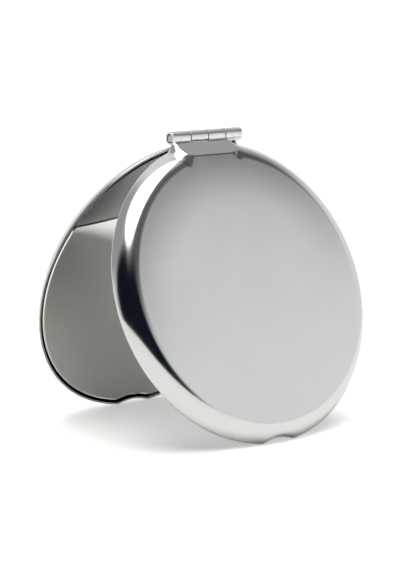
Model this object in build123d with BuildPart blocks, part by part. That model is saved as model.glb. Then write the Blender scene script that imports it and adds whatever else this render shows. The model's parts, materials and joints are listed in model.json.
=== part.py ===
from build123d import *
from math import asin, atan2, cos, degrees, hypot, radians, sin, sqrt, tan
import os

# Pocket compact: two equal shallow pressed steel shells on a four-knuckle hinge, each holding a
# glass mirror plate. It stands like a tent, its halves spread and its hinge on top.
# The hinge runs along X, the front half leans towards -Y and the rear half towards +Y.
# The origin is on the table, below the middle of the shells. Millimetres, +Z up.

# ---- driving dimensions -------------------------------------------------------------------

# shells
shell_radius = 35.0       # at the rim
shell_depth = 4.26        # rim plane to the outside of the flat face
edge_width = 4.0          # rounded edge, from the rim in to the flat face
edge_curve = 7.0          # section radius of the rounded edge
ridge_blend = 1.5         # softens the turn between the face and the rounded edge
trim_land = 0.3           # the rim is trimmed square for this height
wall = 0.45               # sheet thickness
rim_gap = 0.2             # left between the two rims when the compact is shut

# thumb notch, opposite the hinge
notch_depth = 1.15
notch_curve = 10.9        # radius of the hollow
notch_shoulder = 1.5      # radius of the two shoulders beside it

# hinge
axis_outset = 1.45        # hinge axis beyond the rim circle
barrel_shift = 0.5        # the barrel stands this far to +X of the shells' middle
knuckle_pitch = 5.05      # four knuckles, first and third on the front shell
knuckle_gap = 0.15        # between neighbouring knuckles
pin_radius = 1.05
running_clearance = 0.05  # between the pin and the front shell's knuckles
pin_recess = 0.1          # each pin end lies this far inside the barrel
roll_end = 10.0           # degrees from the shell's plane at which the rolled sheet stops
barrel_clearance = 0.1    # kept clear round the barrel by the rest of the shell

# ramp: the flat that runs from the face up to the barrel
ramp_drop = 1.3           # the ramp runs in this far below a line tangent to the barrel
crease_inset = 0.1        # the crease lies this far inside the flat face
ramp_margin = 0.8         # ramp width past the last of the shell's own knuckles
ramp_corner = 2.6         # plan radius of the ramp's far corners
step_length = 2.6         # beside the last knuckle the ramp stops this far from the hinge axis
step_corner = 0.5

# inside each half
mirror_gap = 0.95         # glass to the shell's wall, at the rim
mirror_thickness = 1.0
mirror_recess = 0.2       # glass below the rim
mirror_bevel = 0.3
mirror_corner = 1.0       # rounding beside the thumb notch
tape_thickness = 0.2
mirror_tape_margin = 2.1  # glass edge to the edge of its tape
tray_margin = 0.6         # glass edge to the edge of the tray under it
tray_tape_margin = 2.0    # edge of the flat face to the edge of the tray's tape
tray_clearance = 0.15     # tray to the shell's curved side
magnet_radius = 4.0
magnet_thickness = 1.5
magnet_margin = 10.0      # rim to magnet centre, at the notch
magnet_clearance = 0.1

half_opening = 21.8       # degrees from the upright to each half, as the compact stands

# ---- worked out from those ----------------------------------------------------------------

face_radius = shell_radius - edge_width
reach = shell_radius + axis_outset          # hinge axis to shell centre
rim = rim_gap / 2                           # rim plane, from the plane through the hinge axis
face = rim + shell_depth                    # outside of the flat face, from the same plane
tilt = radians(half_opening)

# centre of the rounded edge's section, at (radius, height) over the rim circle and the face
chord_r = shell_radius - face_radius
chord_t = face - rim - trim_land
chord = hypot(chord_r, chord_t)
sag = sqrt(edge_curve**2 - (chord / 2) ** 2)
edge_centre_r = (shell_radius + face_radius) / 2 - sag * chord_t / chord
edge_centre_t = rim + trim_land + chord_t / 2 - sag * chord_r / chord

# each knuckle is the sheet rolled round the pin
barrel_radius = pin_radius + running_clearance + wall

# the ramp's line meets the face at the crease and runs into the barrel near the hinge axis
crease_reach = axis_outset + edge_width + crease_inset
ramp_offset = barrel_radius - ramp_drop
ramp_slope = atan2(face, crease_reach) - asin(ramp_offset / hypot(crease_reach, face))

# the compact stands on the shoulders beside its two thumb notches
notch_centre = shell_radius - notch_depth + notch_curve
shoulder_reach = (
    (shell_radius - notch_shoulder) ** 2 - (notch_curve + notch_shoulder) ** 2 + notch_centre**2
) / (2 * notch_centre) + notch_shoulder
axis_height = (reach + shoulder_reach) * cos(tilt) - rim * sin(tilt)

# radii of the pieces inside a half
mirror_radius = shell_radius - wall - mirror_gap
mirror_tape_radius = mirror_radius - mirror_tape_margin
tray_radius = mirror_radius - tray_margin
tray_tape_radius = face_radius - tray_tape_margin
magnet_reach = shell_radius - magnet_margin

# heights of the pieces inside a half, from the plane through the hinge axis
glass_top = rim + mirror_recess
glass_bottom = glass_top + mirror_thickness
tray_top = glass_bottom + tape_thickness
inner_face = face - wall
tray_bottom = inner_face - tape_thickness

# each half's own frame lies on the hinge axis: x along the hinge, y away from the shell, z outwards
front = Plane(origin=(0, 0, axis_height), x_dir=(1, 0, 0), z_dir=(0, -cos(tilt), sin(tilt)))
rear = Plane(origin=(0, 0, axis_height), x_dir=(-1, 0, 0), z_dir=(0, cos(tilt), sin(tilt)))
halves = {"front": front, "rear": rear}


# ---- planes of a half ---------------------------------------------------------------------


def section_plane(half):
    """Through the shell's centre: sketch x is the radius, sketch y the height above the axis plane."""
    centre = half.from_local_coords((0, -reach, 0))
    return Plane(origin=centre, x_dir=half.x_dir, z_dir=-half.y_dir)


def side_plane(half, x):
    """Across the hinge at x: sketch x runs from the axis into the shell, sketch y is the height."""
    return Plane(origin=half.from_local_coords((x, 0, 0)), x_dir=-half.y_dir, z_dir=-half.x_dir)


def ramp_plane(half):
    """On the ramp, with its origin beside the hinge axis and y up the ramp."""
    foot = (0, ramp_offset * sin(ramp_slope), ramp_offset * cos(ramp_slope))
    outwards = half.y_dir * sin(ramp_slope) + half.z_dir * cos(ramp_slope)
    return Plane(origin=half.from_local_coords(foot), x_dir=half.x_dir, z_dir=outwards)


# ---- shapes shared by the pieces ----------------------------------------------------------


def ramp_point(along, inset):
    """A point on the ramp's line, or on its parallel under the sheet, from beside the axis on."""
    distance = ramp_offset - inset
    return (
        along * cos(ramp_slope) - distance * sin(ramp_slope),
        along * sin(ramp_slope) + distance * cos(ramp_slope),
    )


def crease(inset):
    """Distance from the hinge axis to where the ramp's line reaches the face."""
    distance = ramp_offset - inset
    return (face - inset - distance / cos(ramp_slope)) / tan(ramp_slope)


def knuckle_start(half, index):
    """First x of a knuckle place, counted from the half's own -x end of the barrel."""
    middle = barrel_shift * half.x_dir.X
    return middle + (index - 2) * knuckle_pitch


def notched_disc(radius, corner):
    """Round outline that follows the rim and its thumb notch, drawn in a half's own frame."""
    inset = shell_radius - radius
    with BuildSketch() as outline:
        with Locations((0, -reach)):
            Circle(radius)
        with Locations((0, -reach - notch_centre)):
            Circle(notch_curve + inset, mode=Mode.SUBTRACT)
        fillet(outline.vertices().sort_by(Axis.Y)[:2], corner)
    return outline.sketch


def shell_form(half, inset, bottom, near):
    """The shell's outer form for no inset, and the space inside it for an inset of one wall.

    The ramp's block starts at the distance near from the hinge axis.
    """
    top = face - inset
    curve = edge_curve - inset
    low_r = edge_centre_r + sqrt(curve**2 - (bottom - edge_centre_t) ** 2)
    high_r = edge_centre_r + sqrt(curve**2 - (top - edge_centre_t) ** 2)
    ramp_left = knuckle_start(half, 0) + inset
    ramp_right = knuckle_start(half, 3) + ramp_margin - inset
    ramp_end = crease_reach - inset
    with BuildPart() as form:
        # the dome: flat face and rounded edge, turned about the shell's centre
        with BuildSketch(section_plane(half)) as profile:
            with BuildLine():
                Polyline((high_r, top), (0, top), (0, bottom), (low_r, bottom))
                RadiusArc((low_r, bottom), (high_r, top), -curve)
            make_face()
            fillet(profile.vertices().sort_by(Axis.Y)[-2:].sort_by(Axis.X)[-1], ridge_blend)
        revolve(axis=Axis(half.from_local_coords((0, -reach, 0)), half.z_dir))
        # trimmed square at the rim and scalloped by the thumb notch
        with BuildSketch(half.offset(bottom)):
            add(notched_disc(shell_radius - inset, notch_shoulder - inset))
        extrude(amount=2 * shell_depth, mode=Mode.INTERSECT)
        # the press lifts the rounded edge into the ramp's block, with round far corners
        with BuildSketch(half.offset(bottom)) as block:
            with Locations(((ramp_left + ramp_right) / 2, -(near + ramp_end) / 2)):
                Rectangle(ramp_right - ramp_left, ramp_end - near)
            fillet(block.vertices().group_by(Axis.Y)[0], ramp_corner - inset)
        extrude(amount=top - bottom)
        # and flattens everything above the ramp's line
        middle = (ramp_left + ramp_right) / 2
        with BuildSketch(side_plane(half, middle)):
            with BuildLine():
                high = (crease(inset), top)
                low = ramp_point(-crease_reach, inset)
                Polyline(high, low, (low[0], 2 * face), (high[0], 2 * face), close=True)
            make_face()
        extrude(amount=(ramp_right - ramp_left) / 2 + 2 * wall, both=True, mode=Mode.SUBTRACT)
    return form.part


# ---- the pieces ---------------------------------------------------------------------------


def build_shell(half, bore):
    """One pressed shell with its ramp and its two rolled knuckles."""
    own_places = (0, 2)
    with BuildPart() as shell:
        near = barrel_radius + barrel_clearance
        add(shell_form(half, 0, rim, near))
        # the space inside runs out under the ramp, open towards the barrel
        add(shell_form(half, wall, rim - 1, 0), mode=Mode.SUBTRACT)
        # everything keeps clear of the barrel
        with BuildSketch(side_plane(half, knuckle_start(half, 2))):
            Circle(near)
        extrude(amount=3 * knuckle_pitch, both=True, mode=Mode.SUBTRACT)
        # beside the last knuckle the ramp steps back from the other shell's one
        with BuildSketch(ramp_plane(half)) as step:
            with Locations((knuckle_start(half, 4) - knuckle_gap / 2, 0)):
                Rectangle(2 * knuckle_pitch, 2 * step_length)
            fillet(step.vertices(), step_corner)
        extrude(amount=2 * wall, both=True, mode=Mode.SUBTRACT)
        # the sheet runs on over the pin and is rolled round it, leaving a seam inside
        for place in own_places:
            left = knuckle_start(half, place) + (knuckle_gap / 2 if place else 0)
            right = knuckle_start(half, place + 1) - knuckle_gap / 2
            with BuildSketch(side_plane(half, (left + right) / 2)):
                Circle(barrel_radius)
                with BuildLine():
                    seam = 2 * barrel_radius
                    bend = ramp_slope + asin(ramp_offset / barrel_radius)
                    start = (seam * cos(bend), seam * sin(bend))
                    end = (seam * cos(radians(roll_end)), seam * sin(radians(roll_end)))
                    Polyline((0, 0), end, start, close=True)
                make_face(mode=Mode.SUBTRACT)
                lap = (near + wall) / cos(ramp_slope) + ramp_offset * tan(ramp_slope)
                corners = ramp_point(0, 0), ramp_point(lap, 0), ramp_point(lap, wall), ramp_point(0, wall)
                with BuildLine():
                    Polyline(*corners, close=True)
                make_face()
                Circle(bore, mode=Mode.SUBTRACT)
            extrude(amount=(right - left) / 2, both=True)
    return shell


def build_mirror(half):
    """Glass plate with a ground bevel, cut to follow the rim and its notch."""
    with BuildPart() as mirror:
        with BuildSketch(half.offset(glass_top)):
            add(notched_disc(mirror_radius, mirror_corner))
        extrude(amount=mirror_thickness)
        chamfer(mirror.faces().sort_by(Axis(half.origin, half.z_dir))[0].edges(), mirror_bevel)
    return mirror


def build_tape(half, radius, height):
    """Round pad of double-sided tape."""
    with BuildPart() as tape:
        with BuildSketch(half.offset(height)):
            with Locations((0, -reach)):
                Circle(radius)
        extrude(amount=tape_thickness)
    return tape


def build_tray(half):
    """Moulded filler that lifts the glass to the rim, with a pocket for the closing magnet."""
    inset = wall + tray_clearance
    with BuildPart() as tray:
        with BuildSketch(half.offset(tray_top)):
            add(notched_disc(tray_radius, mirror_corner))
        extrude(amount=tray_bottom - tray_top)
        add(shell_form(half, inset, rim, 0), mode=Mode.INTERSECT)
        with BuildSketch(half.offset(tray_top)):
            with Locations((0, -reach - magnet_reach)):
                Circle(magnet_radius + magnet_clearance)
        extrude(amount=tray_bottom - tray_top, mode=Mode.SUBTRACT)
    return tray


def build_magnet(half):
    """Disc magnet that lies on the tape in its pocket."""
    with BuildPart() as magnet:
        with BuildSketch(half.offset(tray_bottom - magnet_thickness)):
            with Locations((0, -reach - magnet_reach)):
                Circle(magnet_radius)
        extrude(amount=magnet_thickness)
        chamfer(magnet.edges().filter_by(GeomType.CIRCLE), tape_thickness)
    return magnet


def build_pin():
    """Hinge pin, gripped by the rear shell's knuckles."""
    length = 4 * knuckle_pitch - 2 * pin_recess
    with BuildPart() as pin:
        with BuildSketch(Plane(origin=(barrel_shift, 0, axis_height), z_dir=(1, 0, 0))):
            Circle(pin_radius)
        extrude(amount=length / 2, both=True)
        chamfer(pin.edges().filter_by(GeomType.CIRCLE), pin_recess)
    return pin


# ---- export -------------------------------------------------------------------------------

os.makedirs("parts", exist_ok=True)
pieces = {"hinge_pin": build_pin()}
bores = {"front": pin_radius + running_clearance, "rear": pin_radius}
for name, half in halves.items():
    pieces[name + "_shell"] = build_shell(half, bores[name])
    pieces[name + "_mirror"] = build_mirror(half)
    pieces[name + "_mirror_tape"] = build_tape(half, mirror_tape_radius, glass_bottom)
    pieces[name + "_tray"] = build_tray(half)
    pieces[name + "_tray_tape"] = build_tape(half, tray_tape_radius, tray_bottom)
    pieces[name + "_magnet"] = build_magnet(half)

for name, piece in pieces.items():
    piece.part.label = name
    export_step(piece.part, "parts/" + name + ".step")

print("hinge axis height", round(axis_height, 4))
print("ramp slope", round(degrees(ramp_slope), 3), "crease", round(crease(0), 3))
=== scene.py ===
import json
import math

import bmesh
import bpy
from mathutils import Matrix, Vector


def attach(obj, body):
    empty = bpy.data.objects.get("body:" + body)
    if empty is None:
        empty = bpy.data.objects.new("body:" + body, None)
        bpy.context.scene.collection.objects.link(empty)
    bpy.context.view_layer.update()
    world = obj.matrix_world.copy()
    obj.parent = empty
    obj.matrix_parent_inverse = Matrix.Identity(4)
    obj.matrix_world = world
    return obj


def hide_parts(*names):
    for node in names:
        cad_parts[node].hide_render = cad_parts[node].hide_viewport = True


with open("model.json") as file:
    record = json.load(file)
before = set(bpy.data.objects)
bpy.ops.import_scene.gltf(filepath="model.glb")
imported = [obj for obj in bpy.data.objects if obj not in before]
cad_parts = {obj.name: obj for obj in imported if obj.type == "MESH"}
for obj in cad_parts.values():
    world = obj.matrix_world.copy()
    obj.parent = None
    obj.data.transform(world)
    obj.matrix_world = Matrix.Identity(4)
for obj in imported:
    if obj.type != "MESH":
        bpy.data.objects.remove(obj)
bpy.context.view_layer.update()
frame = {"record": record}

# ---- shells -------------------------------------------------------------------------------
# Two equal shells, pressed from half-millimetre stainless sheet and polished, with a rounded
# edge, a thumb notch and a ramp. The ramp rises to two knuckles, which are the same sheet rolled
# round the hinge pin. The front shell has the first and third.

mm = 0.001
shell_radius = 35.0
shell_depth = 4.26
edge_width = 4.0
edge_curve = 7.0
ridge_blend = 4.8
trim_land = 0.3
sheet = 0.45
rim = 0.1
notch_depth = 1.15
notch_curve = 10.9
axis_outset = 1.45
barrel_radius = 1.55
knuckle_pitch = 5.05
knuckle_gap = 0.26
roll_end = math.radians(10)
crease_inset = 0.03
face_fall = 0.22
fall_start = 20.0
ramp_margin = 0.8
ramp_corner = 2.6
ramp_drop = 1.3
step_length = 2.4
support = 0.25            # first row of the face below the crease
side_blend = 1.6          # width over which the ramp's sides run into the rounded edge
smoothing_rounds = 40

reach = shell_radius + axis_outset
face = rim + shell_depth
hinge = frame["record"]["behaviour"]["joints"][0]["pos_m"]
outwards = {mount["name"]: Vector(mount["axis"]) for mount in frame["record"]["mounts"]}


def half_frame(half):
    """From a half's own frame, on the hinge axis and in millimetres, to the model's."""
    normal = outwards[half + "_face"]
    along = Vector((1 if half == "front" else -1, 0, 0))
    turn = Matrix((along, normal.cross(along), normal)).transposed().to_4x4()
    return Matrix.Translation((0, 0, hinge[2])) @ turn @ Matrix.Scale(mm, 4)


# the rounded edge's section, and the small blend between it and the flat face
chord_t = face - rim - trim_land
chord = math.hypot(edge_width, chord_t)
sag = math.sqrt(edge_curve**2 - (chord / 2) ** 2)
edge_centre_r = shell_radius - edge_width / 2 - sag * chord_t / chord
edge_centre_t = rim + trim_land + chord_t / 2 - sag * edge_width / chord
blend_t = face - face_fall - ridge_blend
blend_r = edge_centre_r + math.sqrt((edge_curve - ridge_blend) ** 2 - (blend_t - edge_centre_t) ** 2)
blend_end = math.atan2(blend_t - edge_centre_t, blend_r - edge_centre_r)
edge_end = math.asin((rim + trim_land - edge_centre_t) / edge_curve)


def crowned(radius):
    """Height of the outer face, which falls a very little towards its edge."""
    share = max(radius - fall_start, 0) / (blend_r - fall_start)
    return face - face_fall * share * share


# the ramp's line, and the hollow bend where it turns up round the barrel
crease_reach = axis_outset + edge_width + crease_inset
crease_height = crowned(reach - crease_reach)
ramp_offset = barrel_radius - ramp_drop
ramp_slope = math.atan2(crease_height, crease_reach)
ramp_slope -= math.asin(ramp_offset / math.hypot(crease_reach, crease_height))
ramp_length = math.sqrt(crease_reach**2 + crease_height**2 - ramp_offset**2)
bend_curve = 0.3
bend_side = ramp_offset + bend_curve
bend_start = math.sqrt((barrel_radius + bend_curve) ** 2 - bend_side**2)
bend_turn = math.atan2(bend_start, bend_side)
slot_end = bend_start + 0.4
ramp_crown = 0.12
notch_centre = shell_radius - notch_depth + notch_curve


def ramp_point(along):
    """Distance from the hinge axis and height of a point on the ramp's line."""
    return (
        along * math.cos(ramp_slope) - ramp_offset * math.sin(ramp_slope),
        along * math.sin(ramp_slope) + ramp_offset * math.cos(ramp_slope),
    )


def ease(low, high, value):
    """0 below low, 1 above high, and smooth between."""
    share = min(max((value - low) / (high - low), 0), 1)
    return share * share * (3 - 2 * share)


def soft_min(a, b, width):
    """The smaller of a and b, rounded where they cross."""
    near = max(width - abs(a - b), 0) / width
    return min(a, b) - near * near * width / 4


def crowd(angle):
    """Moves columns closer together at the hinge and at the notch."""
    return angle - 0.35 * math.sin(2 * angle)


def notch_reach(angle, inset):
    """Plan radius of the thumb notch's hollow in a direction, or None where it misses."""
    off = math.sin(angle) * notch_centre
    curve = notch_curve + inset
    if math.cos(angle) > 0 or abs(off) >= curve:
        return None
    return -math.cos(angle) * notch_centre - math.sqrt(curve**2 - off**2)


def add_point(bm, last, radius, height):
    """Draws a section on to a new point."""
    point = bmesh.ops.extrude_vert_indiv(bm, verts=[last])["verts"][0]
    point.co = (0, radius - reach, height)
    return point


def add_arc(bm, last, radius, height, angle, steps):
    """Draws a section on round a centre."""
    centre = (0, radius - reach, height)
    arc = bmesh.ops.spin(bm, geom=[last], cent=centre, axis=(1, 0, 0), angle=angle, steps=steps)
    return arc["geom_last"][0]


def turn_section(bm, columns):
    """Turns a section, drawn towards the hinge, about the shell's middle."""
    section = bm.verts[:] + bm.edges[:]
    bmesh.ops.spin(
        bm, geom=section, cent=(0, -reach, 0), axis=(0, 0, 1), angle=2 * math.pi, steps=columns,
        use_merge=True,
    )
    bmesh.ops.remove_doubles(bm, verts=bm.verts, dist=0.0001)


def mesh_object(bm, half, name, material):
    """Puts a finished bmesh into its half's place."""
    bmesh.ops.transform(bm, matrix=half_frame(half), verts=bm.verts)
    for polygon in bm.faces:
        polygon.smooth = True
    mesh = bpy.data.meshes.new(name)
    bm.to_mesh(mesh)
    bm.free()
    mesh.materials.append(material)
    piece = bpy.data.objects.new(name, mesh)
    bpy.context.scene.collection.objects.link(piece)
    return piece


def draw_on(bm, row, finish):
    """Draws a row of the sheet's edges on to a new row, left where it started."""
    grown = bmesh.ops.extrude_edge_only(bm, edges=row)["geom"]
    points = [item for item in grown if isinstance(item, bmesh.types.BMVert)]
    for item in grown:
        if isinstance(item, bmesh.types.BMFace):
            item.material_index = finish
    edges = [item for item in grown if isinstance(item, bmesh.types.BMEdge)]
    return [edge for edge in edges if all(end in points for end in edge.verts)]


def ends_of(row):
    """The points of a row of edges."""
    return list({end for edge in row for end in edge.verts})


columns = 600
face_rings = (12.0, 20.0, 22.0, 24.0, 26.0, 27.5, 28.3, blend_r - 0.4)
blend_steps = 12
edge_steps = 26


def press_shell(half):
    """The outer surface of one shell, as one sheet with no thickness."""
    bm = bmesh.new()
    ring = bm.verts.layers.int.new("ring")
    last = bm.verts.new((0, -reach, face))
    for radius in face_rings:
        last = add_point(bm, last, radius, crowned(radius))
    last = add_point(bm, last, blend_r, crowned(blend_r))
    blend_height = crowned(blend_r) - ridge_blend
    last = add_arc(bm, last, blend_r, blend_height, blend_end - math.pi / 2, blend_steps)
    last = add_arc(bm, last, edge_centre_r, edge_centre_t, edge_end - blend_end, edge_steps)
    last = add_point(bm, last, shell_radius, rim)
    bm.verts.index_update()
    for point in bm.verts:
        point[ring] = point.index
    crease_ring = len(face_rings) + 1
    last_ring = last.index
    lengths = [0.0] * (last_ring + 1)
    bm.verts.ensure_lookup_table()
    for index in range(crease_ring + 1, last_ring + 1):
        lengths[index] = lengths[index - 1] + (bm.verts[index].co - bm.verts[index - 1].co).length
    turn_section(bm, columns)

    # where the ramp's columns must stand, so that knuckle ends fall on them
    middle = hinge[0] / mm * (1 if half == "front" else -1)
    starts = [middle + (place - 2) * knuckle_pitch for place in range(5)]
    marks = (
        starts[0],
        starts[1] - knuckle_gap / 2,
        starts[2] + knuckle_gap / 2,
        starts[3] - knuckle_gap / 2,
        starts[3] + ramp_margin,
    )
    upper_steps = range(-columns // 4, columns // 4)
    angles = [crowd(math.radians(360 / columns * step)) for step in upper_steps]
    mark_angles = []
    for mark in marks:
        wanted = math.asin(mark / shell_radius)
        mark_angles.append(min(angles, key=lambda angle: abs(angle - wanted)))

    def ramp_x(angle):
        """Distance along the hinge of a ramp column's upper end."""
        shifts = [mark - shell_radius * math.sin(at) for mark, at in zip(marks, mark_angles)]
        if angle <= mark_angles[0]:
            return shell_radius * math.sin(angle) + shifts[0]
        if angle >= mark_angles[-1]:
            return shell_radius * math.sin(angle) + shifts[-1]
        for low, high, a, b in zip(mark_angles, mark_angles[1:], marks, marks[1:]):
            if angle <= high:
                return a + (b - a) * (angle - low) / (high - low)

    blended = []
    for point in bm.verts:
        x, y, height = point.co.x, point.co.y + reach, point.co.z
        radius = math.hypot(x, y)
        if radius < 1e-6:
            continue
        angle = crowd(math.atan2(x, y))
        hollow = notch_reach(angle, 0)
        if hollow is not None and radius > face_rings[-1]:
            radius = soft_min(radius, hollow, 0.3 + 0.3 * (height - rim))
        x, y = radius * math.sin(angle), radius * math.cos(angle) - reach
        if point[ring] >= crease_ring - 1 and abs(angle) < math.pi / 4:
            share = lengths[point[ring]] / lengths[last_ring]
            top_x = ramp_x(angle)
            end = slot_end
            if top_x < marks[1] + 1e-4 or marks[2] - 1e-4 < top_x < marks[3] + 1e-4:
                end = bend_start
            elif top_x > marks[3]:
                end = step_length
            along = ramp_length + (end - ramp_length) * share
            ramp_s, ramp_t = ramp_point(along)
            ramp_t += ramp_crown * math.sin(math.pi * share)
            if point[ring] == crease_ring - 1:
                ramp_s, ramp_t = crease_reach + support, crowned(reach - crease_reach - support)
            target_x = blend_r * math.sin(angle) * (1 - share) + top_x * share
            # the flat is as wide as its knuckles, with round far corners
            into_corner = max(ramp_s - (crease_reach - ramp_corner), 0)
            tuck = ramp_corner - math.sqrt(max(ramp_corner**2 - into_corner**2, 0))
            inside = ease(marks[0] + tuck - side_blend, marks[0] + tuck, target_x)
            inside *= 1 - ease(marks[4] - tuck, marks[4] - tuck + side_blend, target_x)
            x += (target_x - x) * inside
            y += (-ramp_s - y) * inside
            height += (ramp_t - height) * inside
            if point[ring] <= crease_ring and inside < 0.998:
                height = crowned(math.hypot(x, y + reach))
            elif 0.002 < inside < 0.998:
                blended.append(point)
        point.co = (x, y, height)

    blended = [point for point in blended if not point.is_boundary]
    for _ in range(smoothing_rounds):
        bmesh.ops.smooth_vert(
            bm, verts=blended, factor=0.5, use_axis_x=True, use_axis_y=True, use_axis_z=True,
        )

    # the sheet is drawn on past the ramp and rolled round the pin
    for place in (0, 2):
        low = marks[place] - 1e-3
        high = marks[place + 1] + 1e-3
        row = []
        for edge in bm.edges:
            at_knuckle = all(low < end.co.x < high for end in edge.verts)
            at_rim = all(end[ring] == last_ring and end.co.y > -reach for end in edge.verts)
            if edge.is_boundary and at_knuckle and at_rim:
                row.append(edge)
        bend_s, bend_t = ramp_point(bend_start)
        bend_s -= bend_curve * math.sin(ramp_slope)
        bend_t += bend_curve * math.cos(ramp_slope)
        steps = 8
        for step in range(steps):
            row = draw_on(bm, row, 1)
            bmesh.ops.rotate(
                bm, verts=ends_of(row), cent=(0, -bend_s, bend_t),
                matrix=Matrix.Rotation(bend_turn / steps, 3, "X"),
            )
        steps = 32
        turn = 2 * math.pi + roll_end - (math.pi / 2 + ramp_slope - bend_turn)
        for step in range(steps):
            row = draw_on(bm, row, 1)
            bmesh.ops.rotate(
                bm, verts=ends_of(row), cent=(0, 0, 0),
                matrix=Matrix.Rotation(-turn / steps, 3, "X"),
            )
    bmesh.ops.recalc_face_normals(bm, faces=bm.faces)
    middle_point = Vector((0, -reach, face))
    middle_face = min(
        bm.faces, key=lambda polygon: (polygon.calc_center_median() - middle_point).length,
    )
    if middle_face.normal.z < 0:
        bmesh.ops.reverse_faces(bm, faces=bm.faces)
    return bm


def node(tree, kind, **values):
    """A new node with its settings, and its inputs by name."""
    made = tree.nodes.new(kind)
    inputs = values.pop("inputs", {})
    for name, value in values.items():
        setattr(made, name, value)
    for name, value in inputs.items():
        made.inputs[name].default_value = value
    return made


def new_material(name):
    """An empty material and its Principled shader."""
    material = bpy.data.materials.new(name)
    material.use_nodes = True
    return material, material.node_tree, material.node_tree.nodes["Principled BSDF"]


# wiping marks and fine pitting, for every polished or satin metal
marks = bpy.data.node_groups.new("fine_marks", "ShaderNodeTree")
for name, value in (
    ("Roughness", 0.1),
    ("Spread", 0.04),
    ("Wipe Scale", 60.0),
    ("Pit Scale", 9000.0),
    ("Depth", 0.1),
):
    socket = marks.interface.new_socket(name=name, in_out="INPUT", socket_type="NodeSocketFloat")
    socket.default_value = value
marks.interface.new_socket(name="Roughness", in_out="OUTPUT", socket_type="NodeSocketFloat")
marks.interface.new_socket(name="Normal", in_out="OUTPUT", socket_type="NodeSocketVector")
given = node(marks, "NodeGroupInput")
result = node(marks, "NodeGroupOutput")
place = node(marks, "ShaderNodeTexCoord")
stretch = node(marks, "ShaderNodeMapping")
stretch.inputs["Scale"].default_value = (1.0, 2.5, 0.6)
stretch.inputs["Rotation"].default_value = (0.3, 0.5, 0.4)
wipes = node(marks, "ShaderNodeTexNoise", inputs={"Detail": 5.0, "Roughness": 0.62, "Distortion": 0.4})
wiped = node(marks, "ShaderNodeMapRange", inputs={"From Min": 0.35, "From Max": 0.7})
spread = node(marks, "ShaderNodeMath", operation="MULTIPLY_ADD")
pits = node(marks, "ShaderNodeTexNoise", inputs={"Detail": 2.0, "Roughness": 0.5})
bump = node(marks, "ShaderNodeBump", inputs={"Distance": 0.00002})
marks.links.new(place.outputs["Object"], stretch.inputs["Vector"])
marks.links.new(stretch.outputs["Vector"], wipes.inputs["Vector"])
marks.links.new(given.outputs["Wipe Scale"], wipes.inputs["Scale"])
marks.links.new(wipes.outputs["Fac"], wiped.inputs["Value"])
marks.links.new(wiped.outputs["Result"], spread.inputs[0])
marks.links.new(given.outputs["Spread"], spread.inputs[1])
marks.links.new(given.outputs["Roughness"], spread.inputs[2])
marks.links.new(spread.outputs["Value"], result.inputs["Roughness"])
marks.links.new(place.outputs["Object"], pits.inputs["Vector"])
marks.links.new(given.outputs["Pit Scale"], pits.inputs["Scale"])
marks.links.new(pits.outputs["Fac"], bump.inputs["Height"])
marks.links.new(given.outputs["Depth"], bump.inputs["Strength"])
marks.links.new(bump.outputs["Normal"], result.inputs["Normal"])


def add_marks(tree, shader, **values):
    """Puts the fine marks on a material."""
    made = node(tree, "ShaderNodeGroup", node_tree=marks)
    for name, value in values.items():
        made.inputs[name.replace("_", " ")].default_value = value
    tree.links.new(made.outputs["Roughness"], shader.inputs["Roughness"])
    tree.links.new(made.outputs["Normal"], shader.inputs["Normal"])


def add_tint(tree, shader, first, second, scale):
    """Drifts a material's colour a little between two tones."""
    place = node(tree, "ShaderNodeTexCoord")
    drift = node(tree, "ShaderNodeTexNoise", inputs={"Scale": scale, "Detail": 3.0})
    tones = node(tree, "ShaderNodeValToRGB")
    tones.color_ramp.elements[0].position = 0.35
    tones.color_ramp.elements[0].color = (*first, 1)
    tones.color_ramp.elements[1].position = 0.65
    tones.color_ramp.elements[1].color = (*second, 1)
    tree.links.new(place.outputs["Object"], drift.inputs["Vector"])
    tree.links.new(drift.outputs["Fac"], tones.inputs["Fac"])
    tree.links.new(tones.outputs["Color"], shader.inputs["Base Color"])


polished_steel, tree, shader = new_material("polished_steel")
shader.inputs["Metallic"].default_value = 1.0
add_tint(tree, shader, (0.69, 0.695, 0.69), (0.715, 0.72, 0.715), 45.0)
add_marks(tree, shader, Roughness=0.10, Spread=0.05, Wipe_Scale=55.0, Pit_Scale=1500.0, Depth=0.10)

satin_steel, tree, shader = new_material("satin_steel")
shader.inputs["Metallic"].default_value = 1.0
add_tint(tree, shader, (0.76, 0.76, 0.75), (0.84, 0.84, 0.83), 700.0)
add_marks(tree, shader, Roughness=0.28, Spread=0.06, Wipe_Scale=400.0, Pit_Scale=5000.0, Depth=0.35)

for half in ("front", "rear"):
    shell = mesh_object(press_shell(half), half, half + "_shell_pressed", polished_steel)
    shell.data.materials.append(satin_steel)
    wall = shell.modifiers.new("sheet", "SOLIDIFY")
    wall.thickness = sheet * mm
    wall.offset = -1
    wall.use_even_offset = True
    wall.use_quality_normals = True
    rounding = shell.modifiers.new("trimmed_edge", "BEVEL")
    rounding.width = 0.05 * mm
    rounding.segments = 2
    rounding.limit_method = "ANGLE"
    rounding.angle_limit = math.radians(50)
    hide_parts(half + "_shell")
    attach(shell, half + "_half")

# ---- hinge pin ----------------------------------------------------------------------------
# A drawn steel pin, pushed through the four knuckles and gripped by the rear shell's two.
# Its ends are spun over a little and sit just inside the barrel.

pin_radius = 1.0
pin_half_length = 10.0

drawn_steel, tree, shader = new_material("drawn_steel")
shader.inputs["Metallic"].default_value = 1.0
add_tint(tree, shader, (0.42, 0.42, 0.41), (0.52, 0.52, 0.51), 900.0)
add_marks(tree, shader, Roughness=0.30, Spread=0.15, Wipe_Scale=800.0, Pit_Scale=6000.0, Depth=0.5)

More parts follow.
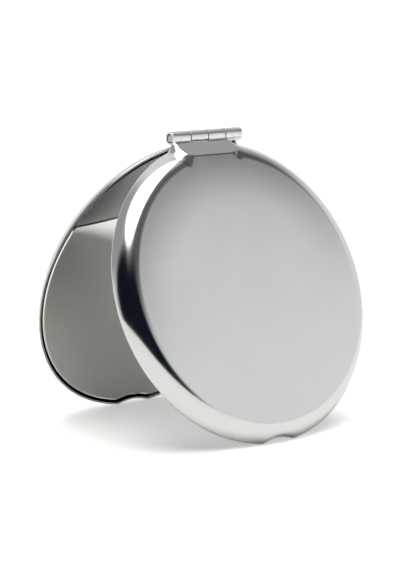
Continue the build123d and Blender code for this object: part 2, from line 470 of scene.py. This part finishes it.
bm = bmesh.new()
bmesh.ops.create_cone(
    bm, cap_ends=True, cap_tris=False, segments=48, radius1=pin_radius, radius2=pin_radius,
    depth=2 * pin_half_length, matrix=Matrix.Rotation(math.pi / 2, 4, "Y"),
)
ends = [edge for edge in bm.edges if abs(edge.verts[0].co.x - edge.verts[1].co.x) < 0.001]
bmesh.ops.bevel(
    bm, geom=ends, offset=0.35, affect="EDGES", segments=4, profile=0.5, material=-1,
)
bmesh.ops.translate(bm, verts=bm.verts, vec=(hinge[0] / mm, 0, 0))
pin = mesh_object(bm, "front", "hinge_pin_drawn", drawn_steel)
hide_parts("hinge_pin")
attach(pin, "rear_half")

# ---- mirror plates ------------------------------------------------------------------------
# Silvered glass, one in each half, ground with a narrow bevel and cut to follow the rim and its
# thumb notch.

glass_radius = 33.9
glass_foot_radius = 33.6
glass_top = 0.3
glass_bottom = 1.3
glass_bevel = 0.3
glass_ring = 28.0

mirror_plate, tree, shader = new_material("mirror_plate")
shader.inputs["Metallic"].default_value = 1.0
add_tint(tree, shader, (0.84, 0.835, 0.805), (0.85, 0.845, 0.82), 30.0)
add_marks(tree, shader, Roughness=0.0, Spread=0.02, Wipe_Scale=70.0, Pit_Scale=200.0, Depth=0.0)

# the front plate's silver gets a dark tint as painted shade, standing in for its dim reflection of the
# shaded space between the halves; it is also slightly hazed
shade_painted_mirror, tree, shader = new_material("shade_painted_mirror")
shader.inputs["Metallic"].default_value = 1.0
add_tint(tree, shader, (0.155, 0.17, 0.18), (0.175, 0.19, 0.20), 30.0)
add_marks(tree, shader, Roughness=0.20, Spread=0.06, Wipe_Scale=70.0, Pit_Scale=2000.0, Depth=0.03)

for half in ("front", "rear"):
    bm = bmesh.new()
    last = bm.verts.new((0, -reach, glass_top))
    outline = (
        (15.0, glass_top),
        (glass_ring, glass_top),
        (glass_radius - glass_bevel - 0.1, glass_top),
        (glass_radius - glass_bevel, glass_top),
        (glass_radius, glass_top + glass_bevel / 2),
        (glass_foot_radius, glass_bottom),
        (glass_ring, glass_bottom),
        (0.0, glass_bottom),
    )
    for radius, height in outline:
        last = add_point(bm, last, radius, height)
    turn_section(bm, columns)
    for point in bm.verts:
        x, y = point.co.x, point.co.y + reach
        radius = math.hypot(x, y)
        if radius < 1e-6:
            continue
        angle = crowd(math.atan2(x, y))
        hollow = notch_reach(angle, shell_radius - glass_radius)
        if hollow is not None and radius > glass_ring + 1:
            radius -= glass_radius - soft_min(glass_radius, hollow, 0.5)
        point.co.x, point.co.y = radius * math.sin(angle), radius * math.cos(angle) - reach
    bmesh.ops.recalc_face_normals(bm, faces=bm.faces)
    # the front half takes the mirror whose dark tint is painted shade
    silvering = shade_painted_mirror if half == "front" else mirror_plate
    glass = mesh_object(bm, half, half + "_mirror_plate", silvering)
    glass.data.set_sharp_from_angle(angle=math.radians(20))
    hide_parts(half + "_mirror")
    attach(glass, half + "_half")

# ---- trays, tapes and magnets --------------------------------------------------------------
# Moulded black trays lift each glass to its rim, on grey foam tape above and below. A nickel
# plated disc magnet lies in each tray's pocket, opposite the hinge, and holds the compact shut.

black_plastic, tree, shader = new_material("black_plastic")
add_tint(tree, shader, (0.016, 0.016, 0.017), (0.024, 0.024, 0.025), 120.0)
add_marks(tree, shader, Roughness=0.42, Spread=0.14, Wipe_Scale=300.0, Pit_Scale=4500.0, Depth=0.6)

foam_tape, tree, shader = new_material("foam_tape")
add_tint(tree, shader, (0.10, 0.10, 0.105), (0.15, 0.15, 0.155), 900.0)
add_marks(tree, shader, Roughness=0.85, Spread=0.10, Wipe_Scale=500.0, Pit_Scale=3000.0, Depth=1.0)

nickel_plate, tree, shader = new_material("nickel_plate")
shader.inputs["Metallic"].default_value = 1.0
add_tint(tree, shader, (0.62, 0.60, 0.56), (0.66, 0.64, 0.60), 200.0)
add_marks(tree, shader, Roughness=0.16, Spread=0.10, Wipe_Scale=250.0, Pit_Scale=3000.0, Depth=0.15)

for half in ("front", "rear"):
    for name, finish in (
        ("_tray", black_plastic),
        ("_mirror_tape", foam_tape),
        ("_tray_tape", foam_tape),
        ("_magnet", nickel_plate),
    ):
        for slot in bpy.data.objects[half + name].material_slots:
            slot.material = finish

# ---- studio -------------------------------------------------------------------------------
# A plain pale floor and a light surround with softer, darker patches in it. The surround and
# the floor are seen by the camera as white.

floor_size = 3.0
bm = bmesh.new()
bmesh.ops.create_grid(bm, x_segments=1, y_segments=1, size=floor_size)
mesh = bpy.data.meshes.new("floor")
bm.to_mesh(mesh)
bm.free()
floor = bpy.data.objects.new("floor", mesh)
bpy.context.scene.collection.objects.link(floor)
pale_floor, tree, shader = new_material("pale_floor")
shader.inputs["Base Color"].default_value = (0.93, 0.925, 0.895, 1)
shader.inputs["Roughness"].default_value = 0.6
shader.inputs["Emission Color"].default_value = (1, 1, 1, 1)
ray = node(tree, "ShaderNodeLightPath")
glow = node(tree, "ShaderNodeMath", operation="MULTIPLY")
glow.inputs[1].default_value = 0.34
tree.links.new(ray.outputs["Is Camera Ray"], glow.inputs[0])
tree.links.new(glow.outputs["Value"], shader.inputs["Emission Strength"])
mesh.materials.append(pale_floor)

world = bpy.data.worlds.new("studio")
bpy.context.scene.world = world
world.use_nodes = True
tree = world.node_tree
direction = tree.nodes.new("ShaderNodeTexCoord").outputs["Generated"]
surround = node(tree, "ShaderNodeRGB")
surround.outputs[0].default_value = (0.87, 0.885, 0.885, 1)
light = surround.outputs[0]


def soft_area(light, towards, inner, outer, colour, strength):
    """Lays a round, soft-edged area of light or dark over the studio's light."""
    facing = node(tree, "ShaderNodeVectorMath", operation="DOT_PRODUCT")
    facing.inputs[1].default_value = Vector(towards).normalized()
    tree.links.new(direction, facing.inputs[0])
    edge = node(tree, "ShaderNodeMapRange", interpolation_type="SMOOTHSTEP")
    edge.inputs["From Min"].default_value = math.cos(math.radians(outer))
    edge.inputs["From Max"].default_value = math.cos(math.radians(inner))
    tree.links.new(facing.outputs["Value"], edge.inputs["Value"])
    mix = node(tree, "ShaderNodeMix", data_type="RGBA")
    colours = [socket for socket in mix.inputs if socket.type == "RGBA"]
    colours[1].default_value = (*(part * strength for part in colour), 1)
    tree.links.new(edge.outputs["Result"], mix.inputs["Factor"])
    tree.links.new(light, colours[0])
    return [socket for socket in mix.outputs if socket.type == "RGBA"][0]


# grey and dark patches of the room above, in front and to the side, then the overhead softbox
light = soft_area(light, (-0.45, -0.50, 0.74), 22, 46, (1.0, 1.0, 1.0), 0.27)
light = soft_area(light, (-0.55, 0.48, 0.68), 20, 40, (1.0, 1.0, 1.0), 0.38)
light = soft_area(light, (0.26, -0.66, 0.71), 12, 27, (1.0, 1.0, 1.0), 0.13)
light = soft_area(light, (-0.84, -0.45, 0.31), 26, 40, (0.10, 0.13, 0.26), 0.05)
light = soft_area(light, (-0.33, -0.92, 0.19), 28, 42, (0.10, 0.13, 0.26), 0.05)
light = soft_area(light, (0.66, 0.04, 0.75), 14, 30, (1.0, 1.0, 1.0), 0.44)
light = soft_area(light, (0.66, -0.22, 0.72), 2, 18, (1.0, 1.0, 1.0), 0.15)
light = soft_area(light, (0.66, -0.41, 0.63), 4, 20, (1.0, 1.0, 1.0), 0.10)
light = soft_area(light, (-0.09, -0.16, 0.98), 22, 29, (1.0, 1.0, 1.0), 4.6)

background = tree.nodes["Background"]
tree.links.new(light, background.inputs["Color"])
seen = node(tree, "ShaderNodeBackground")
seen.inputs["Color"].default_value = (1, 1, 1, 1)
seen.inputs["Strength"].default_value = 1.6
ray = node(tree, "ShaderNodeLightPath")
choose = node(tree, "ShaderNodeMixShader")
tree.links.new(ray.outputs["Is Camera Ray"], choose.inputs["Fac"])
tree.links.new(background.outputs["Background"], choose.inputs[1])
tree.links.new(seen.outputs["Background"], choose.inputs[2])
tree.links.new(choose.outputs["Shader"], tree.nodes["World Output"].inputs["Surface"])

camera_azimuth = math.radians(-39.115)
camera_elevation = math.radians(9.227)
camera_distance = 0.50185
aim = Vector((-0.0008, 0, 0.031875))
back = Vector((
    math.sin(camera_azimuth) * math.cos(camera_elevation),
    -math.cos(camera_azimuth) * math.cos(camera_elevation),
    math.sin(camera_elevation),
))
camera = bpy.data.objects.new("camera", bpy.data.cameras.new("camera"))
bpy.context.scene.collection.objects.link(camera)
camera.data.lens = 138.3
camera.data.sensor_width = 36
camera.location = aim + back * camera_distance
camera.rotation_mode = "QUATERNION"
camera.rotation_quaternion = (-back).to_track_quat("-Z", "Y")
bpy.context.scene.camera = camera
bpy.context.scene.view_settings.view_transform = "Standard"
